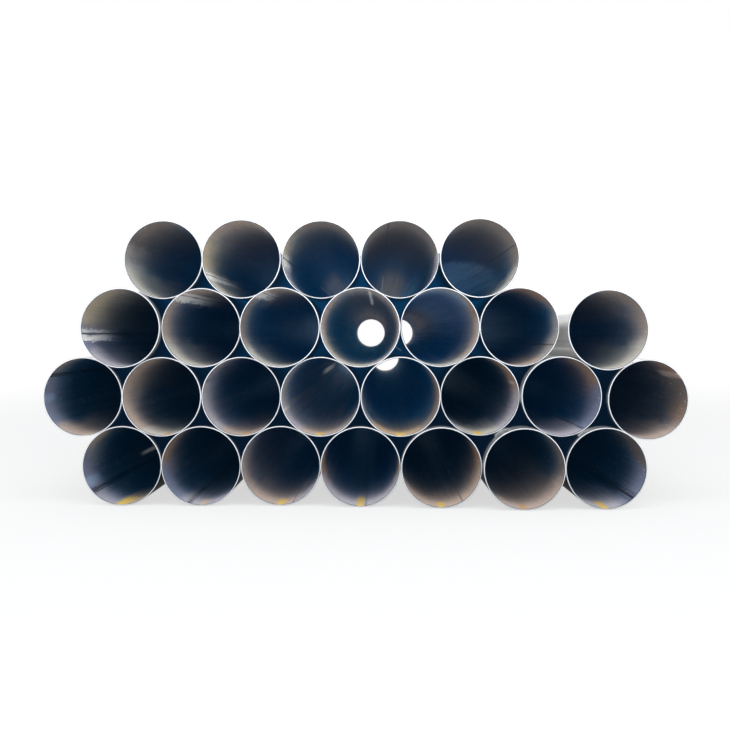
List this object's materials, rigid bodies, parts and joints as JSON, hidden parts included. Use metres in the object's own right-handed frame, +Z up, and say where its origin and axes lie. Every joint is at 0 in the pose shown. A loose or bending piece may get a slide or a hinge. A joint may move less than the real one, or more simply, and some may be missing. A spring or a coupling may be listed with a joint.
{
  "type": "stack of steel pipes",
  "caption": "Loose stack of thin-walled welded steel pipes lying in seated rows, with open bores, staggered cut ends and an empty hollow beside the top row.",
  "frame": {"origin": "middle of the stack's box, on the floor", "axes": "+Y along the pipes, away from the near ends, +Z up, +X to the right seen from the near ends"},
  "size_m": [1.7687, 6.15, 0.789],
  "materials": {
    "steel": "dark mill scale with rust, dust and a weld seam inside the bores, and bare bright cut ends"
  },
  "bodies": {
    "root": {"bottom_pipe_1": "steel", "bottom_pipe_2": "steel", "bottom_pipe_3": "steel", "bottom_pipe_4": "steel", "bottom_pipe_5": "steel", "bottom_pipe_6": "steel", "bottom_pipe_7": "steel", "second_pipe_1": "steel", "second_pipe_2": "steel", "second_pipe_3": "steel", "second_pipe_4": "steel", "second_pipe_5": "steel", "second_pipe_6": "steel", "second_pipe_7": "steel", "second_pipe_8": "steel", "third_pipe_1": "steel", "third_pipe_2": "steel", "third_pipe_3": "steel", "third_pipe_4": "steel", "third_pipe_5": "steel", "third_pipe_6": "steel", "third_pipe_7": "steel", "top_pipe_1": "steel", "top_pipe_2": "steel", "top_pipe_3": "steel", "top_pipe_4": "steel", "top_pipe_5": "steel"}
  },
  "joints": []
}
